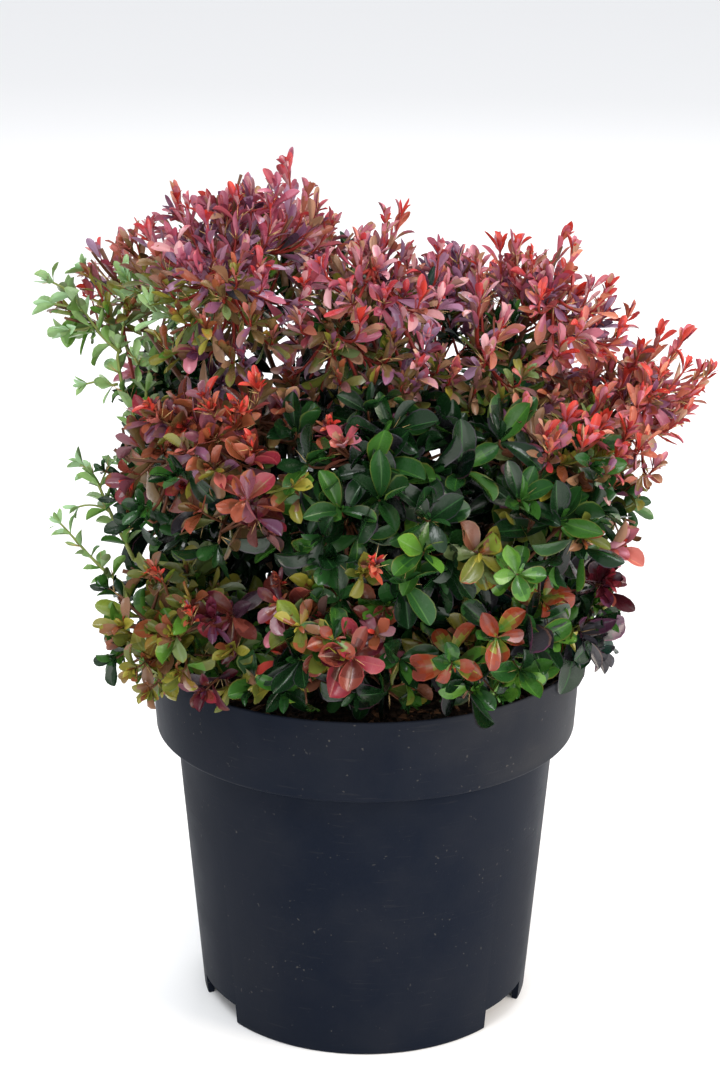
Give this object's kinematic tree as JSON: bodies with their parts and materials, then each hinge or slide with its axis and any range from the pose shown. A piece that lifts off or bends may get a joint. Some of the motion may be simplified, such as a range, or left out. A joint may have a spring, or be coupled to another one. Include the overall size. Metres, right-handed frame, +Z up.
{
  "type": "potted bagatelle japanese barberry",
  "caption": "Compact, dense, thorny shrub with small spoon-shaped red, purple and green leaves on a short stem, in a round tapered plastic nursery pot.",
  "frame": {"origin": "centre of the circle on which the pot's skirt stands, on the ground, under the middle of the crown's outline", "axes": "+Z up along the pot's axis, -Y towards the side that the picture shows, +X to that view's right"},
  "size_m": [0.2956, 0.236, 0.3754],
  "materials": {
    "pot_plastic": "matt dark charcoal with a fine grain, dust and rubbed scratches",
    "potting_mix": "rough, dark, moist crumbs and slivers of bark",
    "bark": "grey-brown, finely ridged bark, redder on young wood",
    "leaves_low": "smooth, half-glossy leaves, dark green to olive and bronze",
    "leaves_middle": "smooth, half-glossy leaves, green turning to rose and purple",
    "leaves_top": "smooth young leaves, rose and crimson with scarlet tips"
  },
  "bodies": {
    "root": {"bough_low_back": "bark", "bough_low_back_left": "bark", "bough_low_back_right": "bark", "bough_low_front": "bark", "bough_low_front_left": "bark", "bough_low_front_right": "bark", "bough_low_left": "bark", "bough_low_right": "bark", "bough_middle_back": "bark", "bough_middle_back_left": "bark", "bough_middle_back_right": "bark", "bough_middle_front": "bark", "bough_middle_front_left": "bark", "bough_middle_front_right": "bark", "bough_middle_left": "bark", "bough_middle_right": "bark", "bough_top_back_left": "bark", "bough_top_back_right": "bark", "bough_top_far_left": "bark", "bough_top_far_right": "bark", "bough_top_left": "bark", "bough_top_middle": "bark", "bough_top_right": "bark", "foliage_low_back": "leaves_low", "foliage_low_back_left": "leaves_low", "foliage_low_back_right": "leaves_low", "foliage_low_front": "leaves_low", "foliage_low_front_left": "leaves_low", "foliage_low_front_right": "leaves_low", "foliage_low_left": "leaves_low", "foliage_low_right": "leaves_low", "foliage_middle_back": "leaves_middle", "foliage_middle_back_left": "leaves_middle", "foliage_middle_back_right": "leaves_middle", "foliage_middle_front": "leaves_middle", "foliage_middle_front_left": "leaves_middle", "foliage_middle_front_right": "leaves_middle", "foliage_middle_left": "leaves_middle", "foliage_middle_right": "leaves_middle", "foliage_top_back_left": "leaves_top", "foliage_top_back_right": "leaves_top", "foliage_top_far_left": "leaves_top", "foliage_top_far_right": "leaves_top", "foliage_top_left": "leaves_top", "foliage_top_middle": "leaves_top", "foliage_top_right": "leaves_top", "main_stem": "bark", "pot": "pot_plastic", "potting_mix": "potting_mix"}
  },
  "joints": []
}
